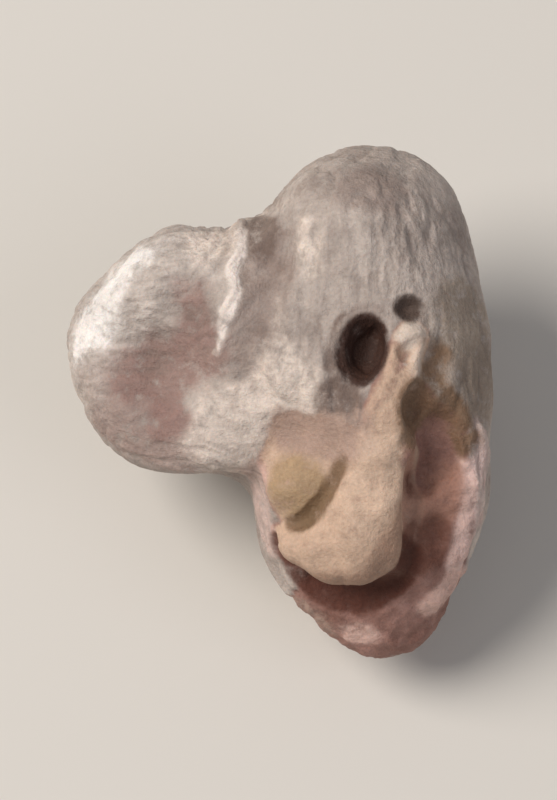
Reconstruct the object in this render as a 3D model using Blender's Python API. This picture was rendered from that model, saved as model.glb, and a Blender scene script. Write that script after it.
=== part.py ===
"""The dried, peeled kernel of a water caltrop: it grew as one piece, so it is one solid.

The kernel is laid out in its own frame, in millimetres: X runs across its face from the horn to the
blunt side, Y up the face to the dome, and Z out of the face. It is then laid on its back on a small
flat spot, leaning by LEAN, with its origin under the middle of its box.
"""

import math
from collections import namedtuple

import bmesh
import bpy
from mathutils import Euler, Matrix, Vector
from mathutils.bvhtree import BVHTree

MM = 0.001

# Driving dimensions
LENGTH = 22.2  # tip of the dome to the end of the hip
WIDTH = 18.3  # tip of the horn to the blunt side
THICKNESS = 14.4  # face to back, before the flat spot is worn into the back
LEAN = math.radians(20.0)  # how far the kernel tips about X as it lies on its back
FLAT_SPOT_DEPTH = 0.5  # how much of the back the flat spot takes away

# How finely the skin is made, and how far its creases are rounded
SKIN_GRAIN = 0.5
SKIN_ROUNDING = 14
EDGE_ROUNDING = 4
MOST_TRIANGLES = 6000

SKIN_COLOUR = (0.36, 0.29, 0.25, 1.0)
SKIN_ROUGHNESS = 0.85

Egg = namedtuple("Egg", "centre radii turn")  # turn is in degrees about X, Y and Z
Flat = namedtuple("Flat", "point outward")

# The swellings that the kernel is made of, each with the sides that dried flat
SWELLINGS = {
    "body": (
        Egg((3.9, 0.65, -0.6), (5.2, 10.4, 5.6), (0, 0, 0)),
        (Flat((8.95, 1.0, 0.0), (1.0, 0.0, -0.3)), Flat((5.0, 8.2, -3.8), (0.1, 0.6, -0.8))),
    ),
    "shoulder": (
        Egg((2.6, 5.5, -0.9), (4.1, 5.25, 4.9), (0, 0, 0)),
        (Flat((1.6, 8.4, -3.4), (-0.3, 0.6, -0.75)),),
    ),
    "hip": (
        Egg((4.0, -4.6, -1.2), (5.0, 6.1, 4.6), (0, 0, -5)),
        (
            Flat((8.1, -6.6, 0.0), (0.87, -0.45, 0.1)),
            Flat((6.6, -7.0, -3.6), (0.5, -0.45, -0.75)),
            Flat((1.2, -6.6, -3.4), (-0.7, -0.4, -0.6)),
        ),
    ),
    "belly": (
        Egg((-0.6, 2.45, -1.2), (4.9, 5.5, 5.2), (0, 0, -8)),
        (Flat((-1.6, -2.4, -3.4), (-0.2, -0.85, -0.5)), Flat((-1.8, 6.4, -3.2), (-0.25, 0.75, -0.6))),
    ),
    "waist": (
        Egg((-1.8, -0.9, 0.1), (4.8, 3.2, 3.25), (0, 0, 4)),
        (Flat((-1.8, -3.4, 0.0), (0.0, -1.0, 0.05)),),
    ),
    "horn": (
        Egg((-4.3, 2.1, -0.9), (4.95, 5.4, 4.2), (0, -10, 8)),
        (
            Flat((-7.5, 5.2, 0.0), (-0.66, 0.75, 0.2)),
            Flat((-5.2, 2.0, 2.6), (-0.28, 0.05, 1.0)),
            Flat((-5.5, -3.2, 0.0), (-0.06, -1.0, 0.15)),
            Flat((-8.7, -0.3, 0.0), (-0.9, -0.5, 0.1)),
            Flat((-6.6, 2.6, -4.0), (-0.45, 0.15, -0.9)),
        ),
    ),
    "heel": (
        Egg((2.2, 0.9, -3.5), (5.6, 6.2, 5.0), (0, 0, 12)),
        (
            Flat((5.4, -1.4, -6.4), (0.65, -0.2, -0.75)),
            Flat((-1.8, 3.6, -6.2), (-0.55, 0.55, -0.65)),
            Flat((2.4, -4.3, -6.0), (0.1, -0.75, -0.65)),
        ),
    ),
    "second_horn": (
        Egg((5.2, 3.4, -4.7), (2.8, 3.5, 2.8), (0, 20, 20)),
        (Flat((6.0, 5.0, -6.2), (0.35, 0.45, -0.85)),),
    ),
}
HORN_DISH = Egg((-5.5, 1.7, 6.3), (4.0, 4.0, 4.4), (0, -14, 0))

# Where a piece broke off below the face, with a tongue of starch left beside the hollow and a crevice
# under it. On the face, a third number is a height above the skin there.
HOLLOW = Egg((6.45, -4.5, 0.75), (1.6, 3.9, 1.75), (0, 25, 0))
SIDE_RECESS = Egg((6.1, -0.7, 0.5), (1.1, 1.6, 1.3), (0, 20, 6))
OCHRE_PAD = Egg((0.95, -3.4, -1.5), (1.9, 2.2, 1.9), (0, 0, 8))
TONGUE_PATH = (
    # x, y, height above the skin, radius
    (5.4, 2.6, -0.3, 0.5),
    (5.0, 0.6, -0.5, 0.6),
    (4.4, -0.9, -0.8, 1.0),
    (3.9, -2.6, -1.15, 1.5),
    (3.5, -4.5, -1.35, 1.95),
    (3.3, -5.8, -1.35, 2.0),
    (2.1, -6.2, -1.05, 1.55),
    (0.9, -6.1, -0.7, 1.1),
    (0.1, -5.95, -0.4, 0.55),
)
CREVICE_PATH = (
    (5.6, -6.5, 0.2, 0.4),
    (5.15, -7.35, 0.15, 0.5),
    (4.3, -8.1, 0.1, 0.6),
    (3.2, -8.5, 0.05, 0.7),
    (2.2, -8.5, 0.05, 0.7),
    (1.4, -8.15, 0.1, 0.6),
    (0.6, -7.45, 0.15, 0.5),
    (0.0, -6.8, 0.2, 0.38),
)

# The two pits beside the top of the tongue
LARGE_PIT = Egg((3.3, 2.15, 0.05), (0.9, 1.4, 1.5), (0, -18, -10))
SMALL_PIT = Egg((5.35, 3.9, 0.15), (0.5, 0.42, 0.75), (0, 0, 0))


def clear_scene():
    for thing in list(bpy.data.objects):
        bpy.data.objects.remove(thing, do_unlink=True)


def add_object(name, bm):
    mesh = bpy.data.meshes.new(name)
    bm.to_mesh(mesh)
    bm.free()
    thing = bpy.data.objects.new(name, mesh)
    bpy.context.scene.collection.objects.link(thing)
    return thing


def add_egg(bm, egg):
    turn = Euler([math.radians(angle) for angle in egg.turn])
    place = Matrix.LocRotScale(Vector(egg.centre), turn, Vector(egg.radii))
    bmesh.ops.create_icosphere(bm, subdivisions=5, radius=1.0, matrix=place)


def helper(name, *eggs):
    """Eggs that cut or join the kernel and are not a part of their own."""
    bm = bmesh.new()
    for egg in eggs:
        add_egg(bm, egg)
    thing = add_object(name, bm)
    thing.hide_render = True
    thing.display_type = "WIRE"
    return thing


def add_boolean(thing, operation, other):
    modifier = thing.modifiers.new(other.name, "BOOLEAN")
    modifier.operation = operation
    modifier.object = other


def add_skin(thing, grain, rounding):
    """One smooth skin over shells that overlap."""
    skin = thing.modifiers.new("skin", "REMESH")
    skin.mode = "VOXEL"
    skin.voxel_size = grain
    smooth = thing.modifiers.new("rounding", "SMOOTH")
    smooth.factor = 0.5
    smooth.iterations = rounding


def bake_modifiers(thing):
    bpy.context.view_layer.update()
    graph = bpy.context.evaluated_depsgraph_get()
    mesh = bpy.data.meshes.new_from_object(thing.evaluated_get(graph))
    thing.modifiers.clear()
    thing.data = mesh


def cut_away(bm, point, outward):
    """Cuts off what lies outside a plane and closes the cut."""
    cut = bmesh.ops.bisect_plane(
        bm,
        geom=bm.verts[:] + bm.edges[:] + bm.faces[:],
        plane_co=Vector(point),
        plane_no=Vector(outward),
        clear_outer=True,
    )
    rim = [edge for edge in cut["geom_cut"] if isinstance(edge, bmesh.types.BMEdge)]
    bmesh.ops.edgeloop_fill(bm, edges=rim)


def make_swelling(name):
    egg, flats = SWELLINGS[name]
    bm = bmesh.new()
    add_egg(bm, egg)
    for flat in flats:
        cut_away(bm, flat.point, flat.outward)
    bmesh.ops.recalc_face_normals(bm, faces=bm.faces[:])
    swelling = add_object(name, bm)
    if name == "horn":
        add_boolean(swelling, "DIFFERENCE", helper("horn_dish", HORN_DISH))
        bake_modifiers(swelling)
    return swelling


def make_swellings():
    """The whole kernel before anything broke off it, sized to the driving dimensions."""
    bm = bmesh.new()
    for name in SWELLINGS:
        swelling = make_swelling(name)
        bm.from_mesh(swelling.data)
        bpy.data.objects.remove(swelling, do_unlink=True)
    kernel = add_object("dried_kernel", bm)
    add_skin(kernel, SKIN_GRAIN, SKIN_ROUNDING)
    bake_modifiers(kernel)
    fit_to_box(kernel.data, (WIDTH, LENGTH, THICKNESS))
    return kernel


def box_of(mesh):
    corners = [[pick(v.co[axis] for v in mesh.vertices) for axis in range(3)] for pick in (min, max)]
    return Vector(corners[0]), Vector(corners[1])


def fit_to_box(mesh, size):
    low, high = box_of(mesh)
    middle = (low + high) / 2
    stretch = [wanted / side for wanted, side in zip(size, high - low)]
    mesh.transform(Matrix.LocRotScale(middle, None, Vector(stretch)) @ Matrix.Translation(-middle))


def skin_height(kernel):
    """Finds the skin's height under a point of the face."""
    bm = bmesh.new()
    bm.from_mesh(kernel.data)
    tree = BVHTree.FromBMesh(bm)
    bm.free()
    above = 2 * THICKNESS

    def height(x, y):
        return tree.ray_cast(Vector((x, y, above)), Vector((0, 0, -1)))[0].z

    return height


def set_on_skin(egg, height):
    x, y, rise = egg.centre
    return egg._replace(centre=(x, y, height(x, y) + rise))


def make_rope(name, path, height):
    """A tapering tube along a path on the face, with closed ends."""
    curve = bpy.data.curves.new(name, "CURVE")
    curve.dimensions = "3D"
    curve.bevel_depth = 1.0
    curve.bevel_resolution = 6
    curve.use_fill_caps = True
    spline = curve.splines.new("NURBS")
    spline.points.add(len(path) - 1)
    spline.order_u = 3
    spline.use_endpoint_u = True
    for point, (x, y, rise, radius) in zip(spline.points, path):
        point.co = (x, y, height(x, y) + rise, 1.0)
        point.radius = radius
    tube = bpy.data.objects.new(name, curve)
    bpy.context.scene.collection.objects.link(tube)
    bm = bmesh.new()
    bm.from_mesh(bpy.data.meshes.new_from_object(tube))
    bpy.data.objects.remove(tube, do_unlink=True)
    bmesh.ops.recalc_face_normals(bm, faces=bm.faces[:])
    rope = add_object(name, bm)
    rope.hide_render = True
    rope.display_type = "WIRE"
    return rope


def shape_broken_side(kernel):
    """The hollows, the tongue and the pad between them, the crevice and the two pits."""
    height = skin_height(kernel)
    for name, hollow in (("hollow", HOLLOW), ("side_recess", SIDE_RECESS)):
        add_boolean(kernel, "DIFFERENCE", helper(name, set_on_skin(hollow, height)))
    add_boolean(kernel, "UNION", make_rope("tongue", TONGUE_PATH, height))
    add_boolean(kernel, "UNION", helper("ochre_pad", set_on_skin(OCHRE_PAD, height)))
    add_boolean(kernel, "DIFFERENCE", make_rope("crevice", CREVICE_PATH, height))
    for name, pit in (("large_pit", LARGE_PIT), ("small_pit", SMALL_PIT)):
        add_boolean(kernel, "DIFFERENCE", helper(name, set_on_skin(pit, height)))
    bake_modifiers(kernel)
    add_skin(kernel, SKIN_GRAIN / 2, EDGE_ROUNDING)
    bake_modifiers(kernel)


def thin_out(kernel):
    """Fewer and larger triangles where the skin is nearly flat."""
    kernel.data.calc_loop_triangles()
    thinner = kernel.modifiers.new("thinner", "DECIMATE")
    thinner.use_collapse_triangulate = True
    thinner.ratio = MOST_TRIANGLES / len(kernel.data.loop_triangles)
    bake_modifiers(kernel)


def lay_on_flat_spot(kernel):
    """Leans the kernel back, cuts its flat spot at Z = 0 and sets the origin below its middle."""
    mesh = kernel.data
    mesh.transform(Matrix.Rotation(LEAN, 4, "X"))
    low, high = box_of(mesh)
    floor = Vector(((low.x + high.x) / 2, (low.y + high.y) / 2, low.z + FLAT_SPOT_DEPTH))
    bm = bmesh.new()
    bm.from_mesh(mesh)
    bmesh.ops.translate(bm, verts=bm.verts[:], vec=-floor)
    cut_away(bm, (0, 0, 0), (0, 0, -1))
    bmesh.ops.scale(bm, verts=bm.verts[:], vec=Vector((MM, MM, MM)))
    bm.to_mesh(mesh)
    bm.free()


def finish_skin(kernel):
    material = bpy.data.materials.new("dried_kernel_skin")
    material.use_nodes = True
    shader = material.node_tree.nodes["Principled BSDF"]
    shader.inputs["Base Color"].default_value = SKIN_COLOUR
    shader.inputs["Roughness"].default_value = SKIN_ROUGHNESS
    shader.inputs["Metallic"].default_value = 0.0
    kernel.data.materials.clear()
    kernel.data.materials.append(material)
    kernel.data.shade_smooth()
    kernel.data.set_sharp_from_angle(angle=math.radians(50))


def main():
    clear_scene()
    kernel = make_swellings()
    shape_broken_side(kernel)
    thin_out(kernel)
    lay_on_flat_spot(kernel)
    finish_skin(kernel)


main()
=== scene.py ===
"""The looks of a dried, peeled water caltrop kernel that lies on its back on a pale floor.

One continuous skin stands for the plain CAD solid. Its form is laid out in millimetres in the kernel's
own frame: X runs across the face from the horn to the blunt side, Y up the face to the dome, and Z out
of the face. The form is leaned back as the CAD solid is, and set into that solid's box.
"""

import math
from collections import namedtuple

import bpy
import numpy as np
from mathutils import Matrix, Vector


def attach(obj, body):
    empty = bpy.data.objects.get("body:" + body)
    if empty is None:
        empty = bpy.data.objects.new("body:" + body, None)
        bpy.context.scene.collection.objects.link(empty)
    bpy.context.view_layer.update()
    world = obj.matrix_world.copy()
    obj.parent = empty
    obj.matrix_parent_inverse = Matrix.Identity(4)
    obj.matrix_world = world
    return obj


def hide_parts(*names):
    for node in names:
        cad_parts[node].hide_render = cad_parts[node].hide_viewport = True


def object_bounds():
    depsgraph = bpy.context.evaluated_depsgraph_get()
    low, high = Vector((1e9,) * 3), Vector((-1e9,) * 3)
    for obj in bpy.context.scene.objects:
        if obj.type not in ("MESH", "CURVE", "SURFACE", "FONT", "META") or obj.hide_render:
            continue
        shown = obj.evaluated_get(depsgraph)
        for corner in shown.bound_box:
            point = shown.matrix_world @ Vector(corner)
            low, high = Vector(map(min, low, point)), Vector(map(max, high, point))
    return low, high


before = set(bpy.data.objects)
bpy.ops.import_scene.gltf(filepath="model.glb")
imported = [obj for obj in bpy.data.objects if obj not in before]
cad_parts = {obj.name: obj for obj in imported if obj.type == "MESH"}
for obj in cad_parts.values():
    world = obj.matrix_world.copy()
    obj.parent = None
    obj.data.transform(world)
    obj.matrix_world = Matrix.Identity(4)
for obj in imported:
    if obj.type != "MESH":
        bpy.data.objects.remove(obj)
cad_low, cad_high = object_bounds()

MM = 0.001

# ---------------------------------------------------------------------------------------------
# The kernel's form, in millimetres and degrees
# ---------------------------------------------------------------------------------------------

LEAN = 20.0  # about X, as the CAD solid leans
FLAT_SPOT_DEPTH = 0.5  # how much of the back the flat spot takes away
SKIN_CELL = 0.12  # spacing of the skin's points
ROUGH_CELL = 4 * SKIN_CELL  # spacing of the first, rough search for the skin
FLAT_ROUNDING = 0.8  # of the edges of the flats that shape a swelling
DISH_ROUNDING = 0.8
SPOT_ROUNDING = 0.25
FAR = 1e3  # a distance that stands for "nowhere near"

Egg = namedtuple("Egg", "centre radii turn", defaults=((0, 0, 0),))  # turn about X, Y and Z
Flat = namedtuple("Flat", "point outward")
Rope = namedtuple("Rope", "points radii")
Swelling = namedtuple("Swelling", "egg flats rounding")
Sway = namedtuple("Sway", "wavelength reach seed")

# Crossing waves that bend the shapes a little, so that nothing on the kernel runs true
FORM_SWAY = Sway(8.0, 0.28, 4)
EDGE_SWAY = Sway(2.4, 0.12, 9)
WAVES_IN_A_SWAY = 7
SWAY_PACES = (0.7, 1.4)  # of the slowest and the quickest wave

SWELLINGS = {
    "body": Swelling(
        Egg((3.9, 0.65, -0.6), (5.2, 10.4, 5.6)),
        (Flat((8.95, 1.0, 0.0), (1.0, 0.0, -0.3)), Flat((5.0, 8.2, -3.8), (0.1, 0.6, -0.8))),
        0.0,
    ),
    "shoulder": Swelling(
        Egg((2.6, 5.5, -0.9), (4.1, 5.25, 4.9)),
        (Flat((1.6, 8.4, -3.4), (-0.3, 0.6, -0.75)),),
        1.2,
    ),
    "hip": Swelling(
        Egg((4.0, -4.6, -1.2), (5.0, 6.1, 4.6), (0, 0, -5)),
        (
            Flat((8.1, -6.6, 0.0), (0.87, -0.45, 0.1)),
            Flat((6.6, -7.0, -3.6), (0.5, -0.45, -0.75)),
            Flat((1.2, -6.6, -3.4), (-0.7, -0.4, -0.6)),
        ),
        1.2,
    ),
    "belly": Swelling(
        Egg((-0.6, 2.45, -1.2), (4.9, 5.5, 5.2), (0, 0, -8)),
        (Flat((-1.6, -2.4, -3.4), (-0.2, -0.85, -0.5)), Flat((-1.8, 6.4, -3.2), (-0.25, 0.75, -0.6))),
        1.4,
    ),
    "waist": Swelling(
        Egg((-1.8, -0.9, 0.1), (4.8, 3.2, 3.25), (0, 0, 4)),
        (Flat((-1.8, -3.4, 0.0), (0.0, -1.0, 0.05)),),
        1.0,
    ),
    "horn": Swelling(
        Egg((-4.3, 2.1, -0.9), (4.95, 5.4, 4.2), (0, -10, 8)),
        (
            Flat((-7.5, 5.2, 0.0), (-0.66, 0.75, 0.2)),
            Flat((-5.2, 2.0, 2.6), (-0.28, 0.05, 1.0)),
            Flat((-5.5, -3.2, 0.0), (-0.06, -1.0, 0.15)),
            Flat((-8.7, -0.3, 0.0), (-0.9, -0.5, 0.1)),
            Flat((-6.6, 2.6, -4.0), (-0.45, 0.15, -0.9)),
        ),
        1.0,
    ),
    "heel": Swelling(
        Egg((2.2, 0.9, -3.5), (5.6, 6.2, 5.0), (0, 0, 12)),
        (
            Flat((5.4, -1.4, -6.4), (0.65, -0.2, -0.75)),
            Flat((-1.8, 3.6, -6.2), (-0.55, 0.55, -0.65)),
            Flat((2.4, -4.3, -6.0), (0.1, -0.75, -0.65)),
        ),
        1.5,
    ),
    "second_horn": Swelling(
        Egg((5.2, 3.4, -4.7), (2.8, 3.5, 2.8), (0, 20, 20)),
        (Flat((6.0, 5.0, -6.2), (0.35, 0.45, -0.85)),),
        0.9,
    ),
}
HORN_DISH = Egg((-5.5, 1.7, 6.3), (4.0, 4.0, 4.4), (0, -14, 0))

# What is cut into the face and raised on it, in this order. Here a third number is a height above the
# skin of the swellings at that place.
Stroke = namedtuple("Stroke", "shape way rounding swayed", defaults=(True,))
STROKES = {
    "crest": Stroke(
        Rope(
            (
                (-1.7, 7.3, -0.35), (-1.9, 6.0, -0.2), (-2.15, 4.7, -0.16), (-2.5, 3.6, -0.16),
                (-2.8, 2.4, -0.2),
            ),
            (0.3, 0.26, 0.22, 0.2, 0.08),
        ),
        "raise",
        0.6,
    ),
    "fold": Stroke(
        Rope(
            (
                (-0.7, 6.9, 0.85), (-0.8, 6.0, 0.75), (-1.1, 4.6, 0.8), (-1.4, 2.4, 0.85),
                (-1.4, 0.4, 0.8),
            ),
            (0.6, 0.9, 1.0, 1.0, 0.7),
        ),
        "cut",
        1.0,
    ),
    "horn_dent": Stroke(Egg((-4.3, 4.2, 1.5), (1.5, 2.0, 1.9), (0, 0, -20)), "cut", 0.8),
    "tongue": Stroke(
        Rope(
            (
                (5.0, 0.6, -0.5), (4.45, -0.9, -0.8), (4.0, -2.6, -1.15), (3.7, -4.5, -1.35),
                (3.4, -5.8, -1.35), (2.1, -6.2, -1.05), (0.9, -6.1, -0.7), (0.1, -5.95, -0.4),
            ),
            (0.55, 1.0, 1.55, 2.0, 2.05, 1.55, 1.1, 0.55),
        ),
        "raise",
        0.5,
    ),
    "left_strip": Stroke(
        Rope(
            ((4.9, 2.3, -0.2), (4.35, 0.8, -0.15), (3.8, -0.4, -0.2), (3.5, -1.6, -0.2)),
            (0.3, 0.3, 0.3, 0.2),
        ),
        "raise",
        0.35,
    ),
    "right_strip": Stroke(
        Rope(
            ((5.85, 2.5, -0.15), (5.55, 1.1, -0.08), (5.15, -0.1, -0.05), (4.95, -1.4, 0.0)),
            (0.28, 0.28, 0.28, 0.2),
        ),
        "raise",
        0.25,
    ),
    "ochre_pad": Stroke(Egg((0.95, -3.4, -1.5), (1.9, 2.2, 1.9), (0, 0, 8)), "raise", 0.6),
    "seam": Stroke(
        Rope(
            (
                (2.3, -2.6, 0.4), (2.15, -3.25, 0.15), (1.9, -3.95, 0.1), (1.55, -4.5, 0.1),
                (1.05, -4.95, 0.1), (0.6, -5.2, 0.15), (0.2, -5.35, 0.3),
            ),
            (0.08, 0.14, 0.18, 0.18, 0.16, 0.1, 0.03),
        ),
        "cut",
        0.4,
    ),
    "hollow": Stroke(Egg((6.65, -4.5, 0.75), (1.45, 3.9, 1.75), (0, 25, 0)), "cut", 0.35),
    "side_recess": Stroke(Egg((5.75, -0.6, 0.2), (0.65, 1.15, 1.15), (0, 10, 6)), "cut", 0.35),
    "side_dent": Stroke(Egg((7.1, -1.2, 0.75), (1.3, 1.8, 1.05), (0, 30, 0)), "cut", 0.7),
    "upper_dent": Stroke(
        Rope(((6.85, 2.4, 0.55), (6.6, 1.4, 0.3), (6.4, 0.4, 0.35)), (0.4, 0.6, 0.5)),
        "cut",
        0.5,
    ),
    "hollow_web": Stroke(
        Rope(
            ((5.4, -5.1, -1.3), (6.3, -4.3, -1.2), (7.2, -3.5, -1.0), (8.0, -3.1, -0.7)),
            (0.3, 0.42, 0.42, 0.35),
        ),
        "raise",
        0.6,
    ),
    "lower_web": Stroke(
        Rope(((6.2, -8.4, -0.6), (6.9, -7.9, -0.55), (7.4, -7.1, -0.5)), (0.3, 0.4, 0.3)),
        "raise",
        0.6,
    ),
    "crevice": Stroke(
        Rope(
            (
                (5.9, -5.6, 0.35), (5.6, -6.5, 0.1), (5.15, -7.35, 0.05), (4.3, -8.1, 0.0),
                (3.2, -8.45, 0.0), (2.2, -8.45, 0.0), (1.4, -8.1, 0.05), (0.6, -7.4, 0.1),
                (0.0, -6.75, 0.15), (-0.4, -6.3, 0.35),
            ),
            (0.3, 0.4, 0.5, 0.6, 0.65, 0.65, 0.6, 0.5, 0.38, 0.25),
        ),
        "cut",
        0.6,
    ),
    "right_rim": Stroke(
        Rope(
            (
                (8.2, -1.2, -0.3), (8.3, -2.4, -0.15), (8.05, -3.5, 0.05), (8.05, -4.6, 0.0),
                (7.75, -5.7, -0.05), (7.3, -6.8, -0.1),
            ),
            (0.3, 0.5, 0.55, 0.5, 0.42, 0.25),
        ),
        "raise",
        0.5,
    ),
    "pit_slope": Stroke(Egg((2.65, 2.0, 0.5), (0.8, 1.35, 0.75), (0, 0, -12)), "cut", 0.6, False),
    "large_pit": Stroke(Egg((3.3, 2.15, 0.05), (0.84, 1.36, 1.2), (0, -18, -10)), "cut", 0.5, False),
    "large_pit_floor": Stroke(
        Egg((3.45, 2.15, -0.7), (0.62, 0.95, 0.9), (0, -20, -12)),
        "cut",
        0.4,
        False,
    ),
    "pit_groove": Stroke(Egg((2.3, 0.0, 0.65), (0.7, 1.2, 0.8), (0, 0, -35)), "cut", 0.6),
    "small_pit": Stroke(Egg((5.35, 3.9, 0.15), (0.5, 0.38, 0.6)), "cut", 0.5, False),
    "nub": Stroke(Egg((5.4, 2.8, -0.2), (0.62, 0.5, 0.45)), "raise", 0.3),
    "nub_notch": Stroke(Egg((5.3, 2.0, 0.25), (0.28, 0.42, 0.42)), "cut", 0.2),
    "hollow_pit": Stroke(Egg((5.65, -3.65, -0.8), (0.36, 0.55, 0.5)), "cut", 0.4),
}

# Creases and ridges of the sides and the back. Here each point is drawn to the skin along the line from
# the kernel's middle.
MIDDLE = np.array((2.0, 0.8, -1.5))
OUTSIDE = 3  # times as far from the middle as a point of the back, and so outside the kernel
BACK_STROKES = {
    "dome_crease": Stroke(
        Rope(
            (
                (0.9, 10.0, -2.6), (0.2, 9.2, -4.0), (-0.6, 7.4, -5.6), (-1.4, 5.0, -7.0),
                (-1.9, 2.2, -7.6),
            ),
            (-0.2, 0.05, 0.16, 0.1, -0.2),
        ),
        "cut",
        0.9,
    ),
    "dome_ridge": Stroke(
        Rope(((3.6, 11.0, -3.4), (3.1, 9.6, -5.2), (2.3, 7.6, -6.8)), (0.1, 0.35, 0.1)),
        "raise",
        1.0,
    ),
    "second_crease": Stroke(
        Rope(
            ((6.4, 10.4, -2.8), (6.6, 9.0, -4.6), (5.7, 7.6, -6.2), (4.2, 6.6, -7.4)),
            (-0.2, 0.05, 0.12, -0.1),
        ),
        "cut",
        0.9,
    ),
    "side_crease": Stroke(
        Rope(
            (
                (9.6, 5.4, -2.6), (10.0, 3.0, -3.6), (10.0, 0.2, -3.5), (9.6, -2.8, -4.2),
                (8.6, -6.0, -4.0),
            ),
            (-0.2, 0.15, 0.22, 0.14, -0.1),
        ),
        "cut",
        0.8,
    ),
    "side_ridge": Stroke(
        Rope(((9.4, 4.2, -5.4), (9.6, 1.6, -5.6), (8.8, -1.0, -6.2)), (0.1, 0.35, 0.1)),
        "raise",
        1.0,
    ),
    "horn_crease": Stroke(
        Rope(
            ((-1.6, -3.6, -3.0), (-2.6, -2.2, -4.8), (-3.6, 0.2, -5.6), (-4.2, 2.8, -5.6)),
            (-0.1, 0.14, 0.16, -0.1),
        ),
        "cut",
        0.8,
    ),
    "horn_back_crease": Stroke(
        Rope(
            ((-4.4, 6.8, -2.0), (-3.9, 6.6, -3.4), (-3.7, 5.4, -5.0), (-4.4, 3.8, -5.6)),
            (-0.2, 0.02, 0.06, -0.15),
        ),
        "cut",
        0.8,
    ),
    "hip_crease": Stroke(
        Rope(((2.0, -9.4, -4.0), (3.0, -7.6, -5.8), (4.6, -5.2, -7.0)), (-0.1, 0.16, -0.05)),
        "cut",
        0.8,
    ),
}


def turn_matrix(degrees):
    """The turns about X, Y and Z in that order, as a matrix."""
    x, y, z = (math.radians(angle) for angle in degrees)
    return np.array(Matrix.Rotation(z, 3, "Z") @ Matrix.Rotation(y, 3, "Y") @ Matrix.Rotation(x, 3, "X"))


def swayed(points, sway):
    """The points, moved about by crossing waves."""
    dice = np.random.default_rng(sway.seed)
    ways = dice.normal(size=(WAVES_IN_A_SWAY, 3))
    ways /= np.linalg.norm(ways, axis=1, keepdims=True)
    pace = 2 * math.pi / sway.wavelength * dice.uniform(*SWAY_PACES, WAVES_IN_A_SWAY)
    shifts = dice.normal(size=(WAVES_IN_A_SWAY, 3)) * sway.reach / math.sqrt(WAVES_IN_A_SWAY)
    phases = dice.uniform(0, 2 * math.pi, WAVES_IN_A_SWAY)
    return points + np.sin(points @ (ways * pace[:, None]).T + phases) @ shifts


def egg_distance(points, egg):
    local = (points - np.array(egg.centre)) @ turn_matrix(egg.turn)
    radii = np.array(egg.radii)
    reach = np.sqrt(((local / radii) ** 2).sum(-1))
    steepness = np.sqrt(((local / radii**2) ** 2).sum(-1)) + 1e-12
    return reach * (reach - 1) / steepness


def flat_distance(points, flat):
    outward = np.array(flat.outward) / np.linalg.norm(flat.outward)
    return (points - np.array(flat.point)) @ outward


def rope_distance(points, rope):
    """A rope's thickness changes evenly from each of its points to the next."""
    nearest = np.full(points.shape[:-1], np.inf)
    stretches = zip(rope.points[:-1], rope.points[1:], rope.radii[:-1], rope.radii[1:])
    for start, end, start_radius, end_radius in stretches:
        start, along = np.array(start), np.array(end) - np.array(start)
        part = np.clip((points - start) @ along / (along @ along), 0, 1)
        axis_distance = np.sqrt(((points - start - part[..., None] * along) ** 2).sum(-1))
        nearest = np.minimum(nearest, axis_distance - start_radius - part * (end_radius - start_radius))
    return nearest


def shape_distance(points, shape):
    return egg_distance(points, shape) if isinstance(shape, Egg) else rope_distance(points, shape)


def joined(one, other, rounding):
    """Two distances as one solid, with the crease between them rounded."""
    if not rounding:
        return np.minimum(one, other)
    share = np.clip(0.5 + 0.5 * (other - one) / rounding, 0, 1)
    return other * (1 - share) + one * share - rounding * share * (1 - share)


def cut(solid, cutter, rounding):
    return -joined(-solid, cutter, rounding)


def swellings_distance(points):
    points = swayed(points, FORM_SWAY)
    kernel = np.full(points.shape[:-1], FAR)
    for name, (egg, flats, rounding) in SWELLINGS.items():
        swelling = egg_distance(points, egg)
        for flat in flats:
            swelling = cut(swelling, -flat_distance(points, flat), FLAT_ROUNDING)
        if name == "horn":
            swelling = cut(swelling, egg_distance(points, HORN_DISH), DISH_ROUNDING)
        kernel = joined(kernel, swelling, rounding)
    return kernel


INSIDE, ABOVE = -2.0, 8.0  # heights inside the kernel and above its face
HALVINGS = 30  # of a line, in the search for the place where it crosses the skin


def skin_between(inside, outside):
    """Where a line out of the kernel crosses the skin of its swellings."""
    inside, outside = np.array(inside), np.array(outside)
    for _ in range(HALVINGS):
        middle = (inside + outside) / 2
        if swellings_distance(middle) < 0:
            inside = middle
        else:
            outside = middle
    return middle


def above_face(point):
    x, y, rise = point
    return x, y, skin_between((x, y, INSIDE), (x, y, ABOVE))[2] + rise


def drawn_in(point):
    return tuple(skin_between(MIDDLE, MIDDLE + OUTSIDE * (np.array(point) - MIDDLE)))


def moved_by(move, shape):
    if isinstance(shape, Egg):
        return shape._replace(centre=move(shape.centre))
    return shape._replace(points=[move(point) for point in shape.points])


def set_on_skin(shape):
    return moved_by(above_face, shape)


def set_on_back(shape):
    return moved_by(drawn_in, shape)


SHAPES = {name: set_on_skin(stroke.shape) for name, stroke in STROKES.items()}
SHAPES.update({name: set_on_back(stroke.shape) for name, stroke in BACK_STROKES.items()})


def kernel_distance(points):
    kernel = swellings_distance(points)
    moved = swayed(points, EDGE_SWAY)
    for name, stroke in [*BACK_STROKES.items(), *STROKES.items()]:
        shape = shape_distance(moved if stroke.swayed else points, SHAPES[name])
        if stroke.way == "raise":
            kernel = joined(kernel, shape, stroke.rounding)
        else:
            kernel = cut(kernel, shape, stroke.rounding)
    return kernel


# ---------------------------------------------------------------------------------------------
# From distances to a mesh
# ---------------------------------------------------------------------------------------------

# The corners of the box in which the skin is searched for
SEARCH_LOW = (-10.5, -12.0, -10.0)
SEARCH_HIGH = (10.5, 12.0, 7.0)
NEAR = 1.6 * ROUGH_CELL  # from a rough grid point to any skin that crosses its cell
SLOPE_STEP = 0.02  # millimetres to each side of a point
LEAST_SLOPE = 0.25  # squared; in a flatter place a point would be thrown too far


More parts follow.
